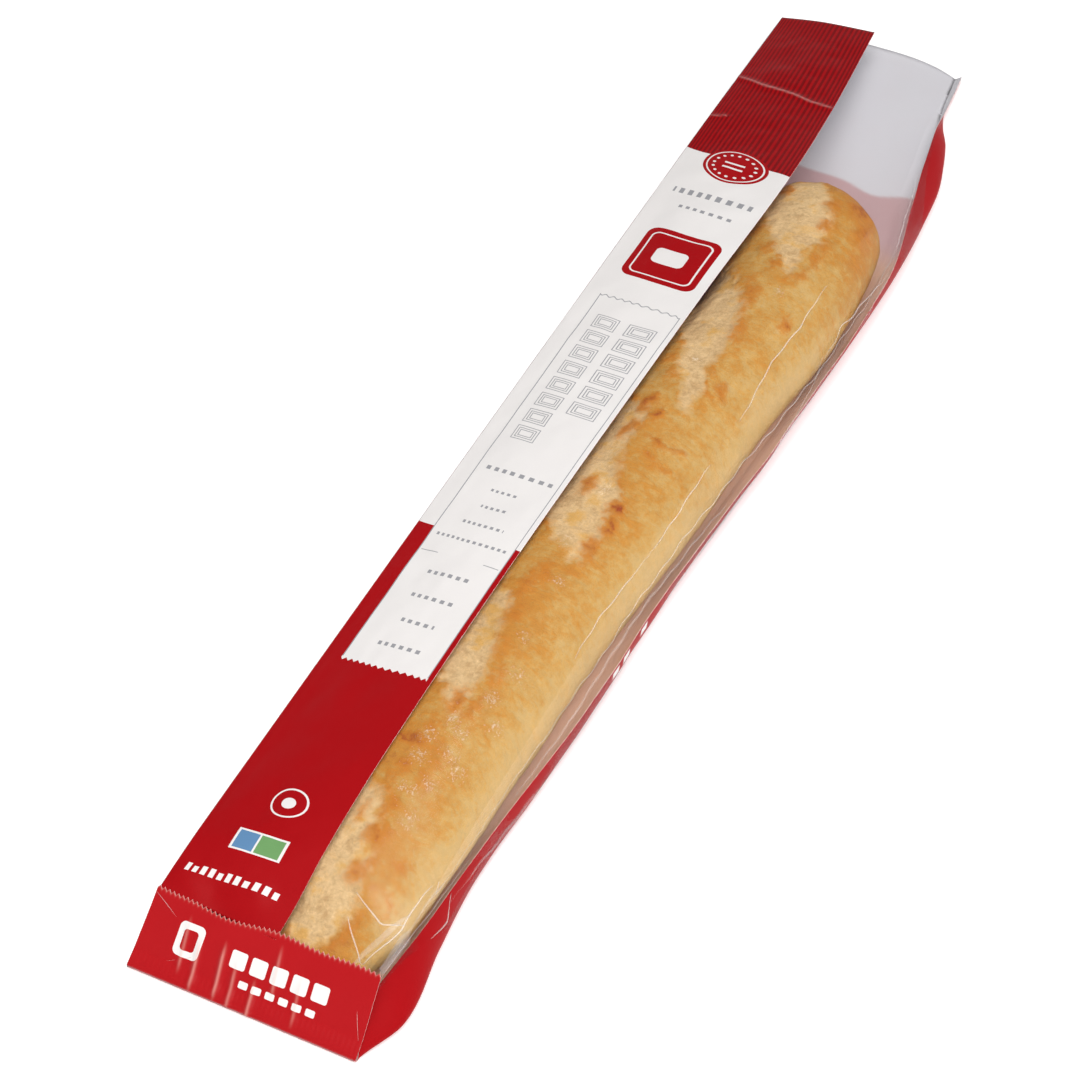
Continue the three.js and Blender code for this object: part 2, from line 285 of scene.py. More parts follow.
def mesh_piece(name, vertices, faces, slots=None, fields=None):
    """A new object at the origin from vertices in metres, with point fields for its material to read."""
    mesh = bpy.data.meshes.new(name)
    mesh.from_pydata(np.asarray(vertices).tolist(), [], faces if isinstance(faces, list) else faces.tolist())
    if slots is not None:
        mesh.polygons.foreach_set("material_index", np.asarray(slots, np.int32))
    for field, values in (fields or {}).items():
        values = np.asarray(values, np.float32)
        kind, key = ("FLOAT_VECTOR", "vector") if values.ndim == 2 else ("FLOAT", "value")
        mesh.attributes.new(field, kind, "POINT").data.foreach_set(key, values.ravel())
    mesh.polygons.foreach_set("use_smooth", np.full(len(mesh.polygons), True))
    if mesh.validate():
        raise RuntimeError(name + " has bad faces")
    mesh.update()
    return new_object(name, mesh)


def sheet_mesh(grid, thickness):
    """A closed thin sheet over a grid of mid points: its outside is material 0, inside 1 and cut edges 2."""
    deep, wide = grid.shape[:2]
    reach = grid_normals(grid) * thickness / 2
    vertices = np.concatenate([(grid + reach).reshape(-1, 3), (grid - reach).reshape(-1, 3)])
    index = np.arange(deep * wide).reshape(deep, wide)
    outer = np.stack([index[:-1, :-1], index[1:, :-1], index[1:, 1:], index[:-1, 1:]], -1).reshape(-1, 4)
    inner = outer[:, ::-1] + deep * wide
    rim = np.concatenate([index[:, 0], index[-1, 1:], index[-2::-1, -1], index[0, -2:0:-1]])
    following = np.roll(rim, -1)
    edge = np.stack([following, rim, rim + deep * wide, following + deep * wide], -1)
    faces = np.concatenate([outer, inner, edge])
    return vertices, faces, np.concatenate([np.zeros(len(outer)), np.ones(len(inner)), np.full(len(edge), 2)])


def sheet_piece(name, grid, thickness, fields=None):
    vertices, faces, slots = sheet_mesh(grid, thickness)
    points = grid.shape[0] * grid.shape[1]
    doubled = {k: np.concatenate([v.reshape(points, -1)] * 2).squeeze() for k, v in (fields or {}).items()}
    return mesh_piece(name, to_row(vertices), faces, slots, doubled)


def lean_back(x, yz, start=0.0):
    """Sections lean with the flap at the folded end and stand straight further on."""
    share = np.maximum(1 - x / FLAP_BLEND, 0)[:, None] ** 2
    return np.concatenate([(x[:, None] + share * (start + FLAP_LEAN * yz[..., 1]))[..., None], yz], -1)


def crowded(count):
    """Shares from 0 to 1 that crowd towards both ends, so that a fold is crisp."""
    t = np.linspace(0, 1, count)
    return 0.6 * t + 0.4 * (0.5 - 0.5 * np.cos(math.pi * t))


def paper_front(edge, top_left):
    """The front paper's three tracks: its edge by the window, its low crown and its left fold."""
    return [edge, edge * 0.45 + top_left * 0.55 + [0, 1.2], top_left]


def sleeve_section(x):
    """The paper web from the window's edge round to the seam, with its own millimetres across the print."""
    edge, top_left = along_track(PAPER_EDGE, x), along_track(FRONT_LEFT_FOLD, x)
    low_left, low_right = along_track(BACK_LEFT_FOLD, x), along_track(BACK_RIGHT_FOLD, x)
    bulge, seam = along_track(RIGHT_BULGE, x), along_track(RIGHT_SEAM, x)
    middle = (top_left + low_left) / 2
    half_chord = np.linalg.norm(top_left - low_left, axis=1) / 2
    middle[:, 0] -= np.sqrt(np.maximum((GUSSET / 2) ** 2 - half_chord**2, 1))
    front, tuck, back, side = crowded(46), crowded(14)[1:], crowded(30)[1:], crowded(26)[1:]
    section = np.concatenate(
        [
            through(paper_front(edge, top_left), front),
            straight(top_left, middle, tuck),
            straight(middle, low_left, tuck),
            straight(low_left, low_right, back),
            through([low_right, bulge, seam], side),
        ],
        1,
    )
    half = GUSSET / 2
    across = np.concatenate([
        FRONT_PRINT * (1 - front), -half * tuck, -half - half * tuck, -GUSSET - FACE * back,
        -GUSSET - FACE - 32 * side,
    ])
    return section, across


def ridge(points, line, width, height):
    """How far a crease along a line of [along, across] points lifts the sheet at each point."""
    line = np.array(rows(line))
    lift = 0.0
    for a, b in zip(line[:-1], line[1:]):
        e = b - a
        t = ((points[..., 0] - a[0]) * e[0] + (points[..., 1] - a[1]) * e[1]) / (e @ e)
        off = np.hypot(
            points[..., 0] - a[0] - np.clip(t, 0, 1) * e[0], points[..., 1] - a[1] - np.clip(t, 0, 1) * e[1]
        )
        lift = np.maximum(lift, bell(off / width))
    return height * lift


# Creases of the front panel: half width and height, then a line of [along, across], all in mm.
FRONT_CREASES = [
    (2.2, 1, "575 46; 569 30; 566 14; 562 4; 560 -8"),
    (1.8, 0.8, "531 46; 533 36"),
    (5, 0.35, "470 44; 448 20; 452 -8"),
    (6, 0.3, "360 44; 340 22; 350 -6"),
    (5, 1.2, "30 40; 22 24; 30 8"),
]


def sleeve_points():
    x = stations((0, 80, 61), (80, 515, 181), (515, 600, 76), (600, BAG_LENGTH, 28))
    section, across = sleeve_section(x)
    grid = lean_back(x, section)
    along = np.repeat(x[:, None], len(across), 1)
    sheet = np.stack([along, np.repeat(across[None], len(x), 0), 0 * along], -1)
    # The web buckles a little between its folds and stays put along them, on the floor and over the loaf.
    front = np.sin(math.pi * np.clip(sheet[..., 1] / FRONT_PRINT, 0, 1)) ** 0.7
    side = ease(-GUSSET - FACE, -GUSSET - FACE - 10, sheet[..., 1])
    loose = ease(BAG_LENGTH, BAG_LENGTH - 25, along)
    grid[..., 2] += front * loose * ease(0, 25, along) * mottles(sheet, *PAPER_BUCKLE)
    # Its cut end hangs down behind the flap, where the flap's pinked edge dips.
    dip = 2.4 * bell(((FACE / 2 - grid[..., 1]) / FACE - FLAP_DIP[0]) / FLAP_DIP[1]) * ease(20, 0, along)
    grid[..., 2] -= np.where(sheet[..., 1] > 0, dip, 0)
    grid[..., 1] += side * loose * 0.7 * mottle(sheet, (26, 14, 9), 5)
    # A painted highlight along the front panel's two sharp creases.
    pale_edge_and_crease_highlight = np.zeros(along.shape)
    for width, height, line in FRONT_CREASES:
        if width < 3:
            pale_edge_and_crease_highlight = np.maximum(pale_edge_and_crease_highlight, front**0.3 * ridge(grid, line, 0.3 * width, height))
        grid[..., 2] += front**0.3 * ridge(grid, line, width, height)
    # The back panel's cut edge runs out into a shallow lip at the mouth.
    share = (-GUSSET - sheet[..., 1]) / FACE
    out = np.clip(1 - np.abs(2 * share - 1) ** 3, 0, 1) * np.clip((along - BAG_LENGTH + 30) / 30, 0, 1) ** 2
    grid[..., 0] += LIP * out
    return grid, sheet, pale_edge_and_crease_highlight


# Creases of the end flap: where across as a share of its width, from and to up it in mm, and height in mm.
FLAP_CREASES = rows("""
    0.27 4.5 15.5 0.75; 0.375 5 16 0.8; 0.44 3 12 0.6; 0.53 2 9 0.7; 0.2 8 19 0.5; 0.6 11 21 0.5; 0.71 6 15 0.4
""")


def flap_points():
    """The back panel's end, carried round the bottom fold and up over the tube, with a pinked upper edge."""
    share = np.linspace(0, 1, 6 * FLAP_TEETH + 1)
    start = [[x, FLAP_FOLD[1] - FLAP_FOLD_RADIUS] for x in (6, 4, 2.5)]
    bend = [
        [FLAP_FOLD[0] - FLAP_FOLD_RADIUS * math.sin(a), FLAP_FOLD[1] - FLAP_FOLD_RADIUS * math.cos(a)]
        for a in np.linspace(0, math.pi / 2 + 0.27, 9)[1:]
    ]
    bend = [point for point in bend if point[1] < FLAP_FOLD_TOP - 0.1]
    rise = np.linspace(FLAP_FOLD_TOP + 0.1, FLAP_TOP, 40)
    face = [[FLAP_LEAN * z * ease(-2, 7, z) + 0.1, z] for z in rise]
    profile = np.array(start + bend + face)
    sag = 1.6 * bell((share - FLAP_DIP[0]) / FLAP_DIP[1]) + 0.3 * np.sin(share * 19)
    tooth = np.abs((share * FLAP_TEETH) % 1 - 0.5) * 2
    top = FLAP_TOP - sag - 0.95 * tooth + 0.3
    height = np.clip(profile[:, 1] / FLAP_TOP, 0, 1)
    x, z = (np.where(profile[:, 1] < FLAP_FOLD_TOP, run, run * top[:, None] / FLAP_TOP) for run in profile.T)
    narrowing = 3.5 * height[None] * (1 - share[:, None])
    y = FACE / 2 - narrowing - share[:, None] * (FACE - narrowing)
    grid = np.stack([x, y, z], -1)
    sheet = np.stack([np.repeat(share[:, None] * FACE, len(height), 1), np.hypot(x, z), 0 * x], -1)
    lift = 0.3 * mottle(sheet, (22, 12, 9), 8) * height
    # Pale raw paper along the pinked top edge, and a painted highlight along each crease.
    pale_edge_and_crease_highlight = 0.55 * ease(FLAP_TOP - 0.7, FLAP_TOP - 0.2, z * FLAP_TOP / top[:, None])
    for place, low, high, tall in FLAP_CREASES:
        tilt = (share[:, None] - place) * FACE + (z - low) * 0.12
        within = ease(low - 4, low, z) * ease(high + 3, high - 3, z)
        lift = lift + tall * bell(tilt / 1.3) * within
        pale_edge_and_crease_highlight = np.maximum(pale_edge_and_crease_highlight, tall * bell(tilt / 0.55) * within)
    lean = math.atan(FLAP_LEAN)
    grid[..., 0] -= lift * math.cos(lean)
    grid[..., 2] += lift * math.sin(lean)
    return grid, sheet, pale_edge_and_crease_highlight


def film_points():
    """The film, from its lap on the right gusset over the fold and the loaf to just under the paper's edge."""
    x = stations((0, 110, 141), (110, 520, 171), (520, BAG_LENGTH, 61))
    seam, fold, edge = (along_track(track, x) for track in (RIGHT_SEAM, FRONT_RIGHT_FOLD, PAPER_EDGE))
    low_right, bulge = along_track(BACK_RIGHT_FOLD, x), along_track(RIGHT_BULGE, x)
    swell = along_track(SIDE_BULGE, x)
    side = (seam + fold) / 2 + np.concatenate([-swell, swell / 3], 1)
    start, end = seam + [0, FILM_OFF], edge - [SHEET / 2 + GAP, 0.1]
    gusset = through([low_right, bulge, seam], np.linspace(0, 1, 60))
    # The lap runs down the outside of the gusset, just off the paper.
    run = np.cumsum(np.linalg.norm(np.diff(gusset[:, ::-1], axis=1), axis=2), 1)
    run = np.concatenate([np.zeros((len(x), 1)), run], 1)
    lap = along_track(FILM_LAP, x)[:, 0]
    drop = np.linspace(1, 0, 12, endpoint=False)
    lapped = np.stack([
        np.stack([np.interp(lap[i] * drop, run[i], gusset[i, ::-1, k]) for k in (0, 1)], -1) for i in range(len(x))
    ])
    out = np.gradient(lapped, axis=1)
    out = np.stack([-out[..., 1], out[..., 0]], -1)
    out /= np.linalg.norm(out, axis=2, keepdims=True)
    lapped = lapped + LAP_OFF * out
    over = through([fold, along_track(FILM_CROWN, x), end], np.linspace(0, 1, 46))
    under = through(paper_front(edge, along_track(FRONT_LEFT_FOLD, x)), np.linspace(0.01, 0.075, 6)) - [0, FILM_OFF]
    section = np.concatenate([lapped, through([start, side, fold], crowded(22))[:, :-1], over, under], 1)
    return lean_back(x, section, SHEET + 2 * GAP)


# Creases pressed into the film, each carrying a pale strip that is a painted highlight: half width in mm, then a line
# of [along, share of the way over it].
FILM_CREASES = [
    (0.4, "298 0.357; 274 0.357; 240 0.357"),
    (0.3, "240 0.357; 214 0.405; 199 0.429; 175 0.417"),
    (0.4, "424 0.393; 392 0.381; 366 0.405; 346 0.381; 327 0.357"),
    (0.4, "390 0.274; 344 0.119; 322 0.095; 279 0.083"),
    (0.35, "546 0.226; 501 0.262; 469 0.214"),
    (0.35, "469 0.19; 438 0.262; 409 0.274; 390 0.262"),
    (0.4, "42 0.69; 36 0.536; 40 0.429"),
    (0.35, "34 0.679; 22 0.524"),
    (0.4, "22 0.524; 38 0.44; 53 0.44; 58 0.417"),
    (0.4, "59 0.298; 61 0.393"),
    (0.4, "86 0.202; 57 0.226; 24 0.345; 11 0.274"),
    (0.45, "72 0.131; 64 0.036; 54 0.01"),
    (0.3, "60 0.3; 140 0.29; 260 0.27; 390 0.25; 505 0.24"),
]
# The same for its broad, faint pleats, which carry a fainter painted glare.
FILM_PLEATS = [
    (1.6, "70 0.1; 150 0.06; 260 0.07; 350 0.05"),
    (1.3, "120 0.2; 200 0.24; 300 0.2"),
    (2.6, "14 0.42; 30 0.4; 48 0.36; 66 0.3"),
    (1.6, "20 0.56; 34 0.5; 44 0.44"),
    (1.3, "430 0.12; 470 0.16; 500 0.2"),
]


def crease_ribbon(film, line, half_width):
    """A low pleat along a line on the film, five points wide, dying out at both ends."""
    line = np.array(rows(line))
    run = np.concatenate([[0], np.cumsum(np.hypot(*(np.diff(line, axis=0) * [1, 90]).T))])
    at = np.linspace(0, run[-1], max(int(run[-1] / 1.5), 12))
    x, share = np.interp(at, run, line[:, 0]), np.interp(at, run, line[:, 1])
    share = share + 0.004 * np.sin(at * 0.35) + 0.003 * np.sin(at * 0.13)
    stands = film[:, 30:60, 0].min(1)
    i = np.clip(np.interp(x, stands, np.arange(len(film))), 0, len(film) - 1.001)
    j = np.clip(share * (film.shape[1] - 1), 0, film.shape[1] - 1.001)

    def on(field):
        a, b = i.astype(int), j.astype(int)
        u, v = (i - a)[:, None], (j - b)[:, None]
        near = field[a, b] * (1 - v) + field[a, b + 1] * v
        return near * (1 - u) + (field[a + 1, b] * (1 - v) + field[a + 1, b + 1] * v) * u

    centre, normal = on(film), on(grid_normals(film))
    ahead = np.gradient(centre, axis=0)
    sideways = np.cross(normal, ahead)
    sideways /= np.linalg.norm(sideways, axis=1, keepdims=True)
    taper = np.sin(np.linspace(0.12, math.pi - 0.12, len(at))) ** 0.7
    places = np.array([-1, -0.5, 0, 0.5, 1])
    reach = (places[None] * 0.75 * half_width * taper[:, None])[..., None] * sideways[:, None]
    lift = (0.16 + 0.3 * min(half_width, 0.5) * taper[:, None] * (1 - places[None] ** 2))[..., None] * normal[:, None]
    return centre[:, None] + reach + lift


def loaf_points():
    """The loaf's skin before it rises: rings of points along it, and how high each point is round its ring."""
    t = np.linspace(0, 1, 600)
    x = LOAF_LENGTH * (0.82 * t + 0.18 * (0.5 - 0.5 * np.cos(math.pi * t)))
    x[0], x[-1] = 0.15, LOAF_LENGTH - 0.1
    wide, high = along_track(LOAF_SIZE, x).T
    middle = along_track(LOAF_MIDDLE, x)[:, 0]
    turn = -np.linspace(0, 2 * math.pi, 216, endpoint=False)
    up, out = np.sin(turn), np.cos(turn)
    waist, top = LOAF_HEIGHT * LOAF_WAIST * (0.35 + 0.65 * high), LOAF_HEIGHT * high
    z = np.where(up > 0, waist[:, None] + (top - waist)[:, None] * up, waist[:, None] * (1 + 1.12 * up))
    z = np.maximum(z, 0)
    y = middle[:, None] + 0.5 * LOAF_WIDTH * wide[:, None] * out
    grid = np.stack([np.repeat(x[:, None] + LOAF_START, len(turn), 1), y, z + SHEET + GAP], -1)
    return grid, np.repeat(up[None], len(x), 0), y - middle[:, None]


def risen_loaf():
    """The baked skin: lumps, opened cuts with torn crumb and raised rims, blisters; and the fields its crust reads."""
    grid, up, off = loaf_points()
    wrapped = np.concatenate([grid[:, -1:], grid, grid[:, :1]], 1)
    normal = grid_normals(wrapped)[:, 1:-1]
    x, y = grid[..., 0], grid[..., 1]
    ragged = [mottles(grid, (1, 9, 11 + k), (0.8, 3.4, 21 + k), (0.5, 1.5, 26 + k)) for k in range(2)]
    cut = np.full(x.shape, FAR)
    for ring in SCORES:
        cut = np.minimum(cut, ring_distance(x + 2.6 * ragged[0], y + 2.2 * ragged[1], ring))
    cut = np.where(up > 0.05, cut, FAR)
    inside = ease(1.4, -6.5, cut)
    patchy = ease(-0.35, 0.45, mottle(grid, (16, 9, 9), 31) + 0.3 * mottle(grid, 4, 32))
    rim = 0.5 * bell((cut - 1.2) / 2.2) * (0.1 + 0.9 * patchy)
    for px, py, long, wide, strength in TOASTED:
        away = ((x + 2.2 * ragged[1] - px) / (1.15 * long)) ** 2 + ((y + 1.8 * ragged[0] - py) / (1.1 * wide)) ** 2
        rim = np.maximum(rim, 0.78 * strength * np.exp(-away) * (up > 0))
    glow = bell(np.maximum(cut, 0) / 8) * (0.4 + 0.6 * patchy)
    ends = ease(60, 0, x - LOAF_START) * 0.1 + ease(LOAF_LENGTH - 75, LOAF_LENGTH, x - LOAF_START)
    bake = 0.42 + 0.3 * mottle(grid, (46, 22, 22), 41) + 0.22 * ease(-26, 8, off) + 0.3 * glow + 0.42 * ends
    # The thin end by the flap and the blunt tip took the most heat.
    bake = bake + 0.45 * ease(270, 140, x) * ease(0.35, 0.9, up) + 0.5 * ease(488, 507, x)
    # Painted shade: the right flank darkens towards the tip.
    bake = bake + 0.5 * ease(370, 450, x) * ease(6, 30, -off)
    bake = bake - 0.4 * ease(0.75, 0.1, up) - 0.1 * ease(0.2, -0.4, up)
    flour = 0.3 * np.exp(-(((x - 112) / 34) ** 2) - ((y + 27) / 13) ** 2)
    for px, py, reach in FLOURED:
        flour = np.maximum(flour, np.exp(-((x - px) ** 2 + (y - py) ** 2) / (1.2 * reach) ** 2) * (up > 0))
    torn = mottles(grid, (0.5, 7, 51), (0.38, 3.1, 52), (0.2, 1.4, 53))
    lumps = mottles(grid, (0.8, (52, 30, 30), 61), (0.45, (17, 12, 12), 62)) - 0.6
    lumps = lumps + mottles(grid, (0.2, (7, 6, 6), 65), (0.11, 2.9, 66))
    lumps = lumps * ease(0, 25, x - LOAF_START) * ease(LOAF_LENGTH, LOAF_LENGTH - 25, x - LOAF_START)
    rise = lumps - 1.1 * inside + 0.6 * inside * torn + 0.75 * rim
    rise = rise + 0.06 * mottle(grid, 1.3, 63) + 0.2 * flour * ease(0.1, 0.7, mottle(grid, 2.6, 64))
    rise = np.where(up < -0.2, np.minimum(rise, 0) * ease(-1, -0.6, up), rise)
    grid = grid + normal * np.minimum(rise, 0.32)[..., None]
    grid[..., 2] = np.maximum(grid[..., 2], SHEET + GAP)
    return grid, {"cut": np.clip(cut, -8, 12), "rim": rim, "bake": bake, "flour": flour}


# ------------------------------------------------------------------------------------------- materials


def linear(code):
    """An sRGB hex colour as the linear numbers that a material takes."""
    parts = [int(code[i:i + 2], 16) / 255 for i in (1, 3, 5)]
    return tuple(c / 12.92 if c <= 0.04045 else ((c + 0.055) / 1.055) ** 2.4 for c in parts) + (1.0,)


class Nodes:
    """One new material and the nodes that are laid into it. Printed marks are in mm along and across the sheet."""

    def __init__(self, name):
        self.material = bpy.data.materials.new(name)
        self.material.use_nodes = True
        self.tree = self.material.node_tree
        self.tree.nodes.clear()

    def add(self, kind, inputs=(), out=0, **settings):
        """Adds one node with its settings and its inputs, each a link, a number or a hex colour; returns an output."""
        node = self.tree.nodes.new("ShaderNode" + kind)
        for key, value in settings.items():
            setattr(node, key, value)
        for key, value in inputs.items() if isinstance(inputs, dict) else enumerate(inputs):
            if isinstance(value, bpy.types.NodeSocket):
                self.tree.links.new(value, node.inputs[key])
            else:
                node.inputs[key].default_value = linear(value) if isinstance(value, str) else value
        return node.outputs[out]

    def finish(self, **sockets):
        """Ends the material in one Principled shader with these numbers, colours and links, and returns it."""
        shader = self.add("BsdfPrincipled", {key.replace("_", " "): value for key, value in sockets.items()})
        self.tree.links.new(shader, self.tree.nodes.new("ShaderNodeOutputMaterial").inputs[0])
        return self.material

    def toned(self, value, colour, *steps):
        """Lays colours over one another, each by a soft step of a value: steps of (low, high, colour)."""
        for low, high, ink in steps:
            share = self.add("MapRange", {0: value, 1: low, 2: high}, interpolation_type="SMOOTHSTEP")
            colour = self.add("Mix", {0: share, 6: colour, 7: ink}, 2, data_type="RGBA")
        return colour

    def sheet_axes(self):
        """The two axes of a printed sheet in mm, kept in its points."""
        return self.add("SeparateXYZ", [self.add("Attribute", out="Vector", attribute_name="sheet")]).node.outputs[:2]

    def paper_grain(self, cloud_size, cloud_detail=3.0, fibre_size=1400.0):
        """The paper's fine fibres and its broad cloudiness."""
        place = self.add("TexCoord", out="Object")
        fibre = self.add("TexNoise", {"Vector": place, "Scale": fibre_size, "Detail": 4.0, "Roughness": 0.7})
        return fibre, self.add("TexNoise", {"Vector": place, "Scale": cloud_size, "Detail": cloud_detail})

    def sum_of(self, *terms):
        """Adds (value, weight, middle) terms: each value less its middle, times its weight."""
        parts = [
            self.add("Math", [value, weight, -weight * middle], operation="MULTIPLY_ADD")
            for value, weight, middle in terms
        ]
        return functools.reduce(lambda total, part: self.add("Math", [total, part], operation="ADD"), parts)

    def either(self, masks):
        return functools.reduce(lambda total, mask: self.add("Math", [total, mask], operation="MAXIMUM"), masks)

    def block(self, along, across, x0, x1, p0, p1):
        """A printed block from x0 to x1 along the sheet and from p0 to p1 across it."""
        sides = [
            self.add("Math", [value, (low + high) / 2, (high - low) / 2], operation="COMPARE")
            for value, low, high in ((along, x0, x1), (across, p0, p1))
        ]
        return self.add("Math", sides, operation="MULTIPLY")

    def rounded(self, along, across, x0, x1, p0, p1, corner):
        """A printed block with round corners, from its distance to a smaller block."""
        sides = []
        for value, low, high in ((along, x0, x1), (across, p0, p1)):
            off = self.add(
                "Math", [self.add("Math", [value, (low + high) / 2], operation="SUBTRACT")], operation="ABSOLUTE"
            )
            off = self.add(
                "Math",
                [self.add("Math", [off, (high - low) / 2 - corner], operation="SUBTRACT"), 0.0],
                operation="MAXIMUM",
            )
            sides.append(self.add("Math", [off, 2.0], operation="POWER"))
        return self.add("Math", [self.add("Math", sides, operation="ADD"), corner * corner], operation="LESS_THAN")


# The print's grey rules: rows of [from, to] along the sheet, [from, to] across it, length of a dash and its gap.
RULES = rows("""
    459 463 11 47 4.4; 448 450 19 44 3.6; 257 259.2 15 47 4; 246 247.4 25 38 2.5; 236 237.6 26 38 2.5;
    225 226.6 23 41 2.5; 215 216.6 15 47 2.5; 205.4 205.8 13.5 22 0; 205.4 205.8 42 49 0; 194 196 23 42 3.2;
    180 182 22 41 3.2; 166 168 25 40 3.2; 152 154 23 42 3.2
""")
BADGE = (489.0, 29.5)
BADGE_DOTS = 16


def front_print(n, along, across):
    """The masks of the front panel's print: white ground, dark stripes, grey lines and red marks."""
    block, rounded = functools.partial(n.block, along, across), functools.partial(n.rounded, along, across)
    pinked = n.add("Math", [along, n.add("Math", [across, 1.45], operation="PINGPONG")], operation="ADD")
    panel = n.add("Math", [across, 27.0, 29.0], operation="COMPARE")
    ground = block(219, 494, -2, 60)
    tongue = n.block(pinked, across, 141.5, 225, 12, 50.6)
    # A dark stripe every 2.24 mm across, from the badge to the mouth.
    stripe = n.add(
        "MapRange",
        {0: n.add("Math", [across, 1.12], operation="PINGPONG"), 1: 0.35, 2: 0.75},
        interpolation_type="SMOOTHSTEP",
    )
    stripes = n.add("Math", [stripe, block(494, 700, -2, 60)], operation="MULTIPLY")
    spot = n.add("CombineXYZ", [along, across, 0.0])
    badge = n.add("VectorMath", [spot, (*BADGE, 0.0)], "Value", operation="DISTANCE")
    disc = n.add("Math", [badge, 14.0], operation="LESS_THAN")
    stripes = n.add("Math", [stripes, disc], operation="SUBTRACT", use_clamp=True)
    ring = n.add("Math", [badge, 12.2, 0.35], operation="COMPARE")
    # Plain dots round the badge, and two short bars inside it.
    bars = [block(x, x + 1.3, 24.9, 34.1) for x in (490.2, 486.4)]
    dots = []
    for turn in np.linspace(0, math.tau, BADGE_DOTS, endpoint=False):
        dot = (BADGE[0] + 9.2 * math.cos(turn), BADGE[1] + 9.2 * math.sin(turn), 0.0)
        dots.append(
            n.add(
                "Math",
                [n.add("VectorMath", [spot, dot], "Value", operation="DISTANCE"), 0.75],
                operation="LESS_THAN",
            )
        )
    shield = rounded(394.5, 431, 13.2, 47.4, 5)
    shield_line = n.add(
        "Math",
        [rounded(397.5, 428, 16.2, 44.4, 3.4), rounded(398.3, 427.2, 17, 43.6, 2.8)],
        operation="SUBTRACT",
        use_clamp=True,
    )
    shield_bar = rounded(407.5, 418, 23, 37.6, 2.5)
    # Grey: the label's frame with its waved top, two rows of outlined blocks, and short rules.
    wave = n.add("Math", [n.add("Math", [across, 1.55], operation="MULTIPLY")], operation="SINE")
    waved = n.add("Math", [wave, 0.55, along], operation="MULTIPLY_ADD")
    grey = [
        n.block(waved, across, 377.3, 377.9, 12, 50.6),
        block(142, 377.5, 12, 12.5),
        block(142, 377.5, 50.1, 50.6),
    ]
    for low, high, middle in ((276.4, 366.0, 23.6), (298.8, 366.0, 39.4)):
        step = n.add("Math", [n.add("Math", [along, low], operation="SUBTRACT"), 5.6], operation="PINGPONG")
        ends = n.add("Math", [1.3, step], operation="SUBTRACT")
        off = n.add("Math", [n.add("Math", [across, middle], operation="SUBTRACT")], operation="ABSOLUTE")
        outline = n.add("Math", [ends, n.add("Math", [off, 5.8], operation="SUBTRACT")], operation="MAXIMUM")
        row = block(low, high, middle - 7, middle + 7)
        lines = n.either([n.add("Math", [outline, v, 0.2], operation="COMPARE") for v in (-0.2, -1.5, -2.6)])
        grey.append(n.add("Math", [lines, row], operation="MULTIPLY"))
    for x0, x1, p0, p1, dash in RULES:
        rule = block(x0, x1, p0, p1)
        if dash:
            gaps = n.add(
                "Math",
                [n.add("Math", [across, dash / 2], operation="PINGPONG"), dash / 4],
                operation="GREATER_THAN",
            )
            rule = n.add("Math", [rule, gaps], operation="MULTIPLY")
        grey.append(rule)
    ringed = n.add("VectorMath", [spot, (68.0, 31.5, 0.0)], "Value", operation="DISTANCE")
    light = [
        n.add("Math", [ringed, 6.6, 0.38], operation="COMPARE"),
        n.add("Math", [ringed, 2.6], operation="LESS_THAN"),
        block(38, 50.5, 19.5, 39.5),
    ]
    light += [block(18, 23.6 - 1.3 * (k % 3 == 1), 8 + 3.5 * k, 10.1 + 3.5 * k) for k in range(11)]
    panes = [block(39, 49.5, 20.5, 29), block(39, 49.5, 29.75, 38.5)]
    white = n.add(
        "Math", [n.either([ground, tongue]), n.either([disc, shield])], operation="SUBTRACT", use_clamp=True
    )
    white = n.either([white, ring, shield_line, shield_bar, *bars, *dots, *light])
    return panel, white, n.either(grey), stripes, panes


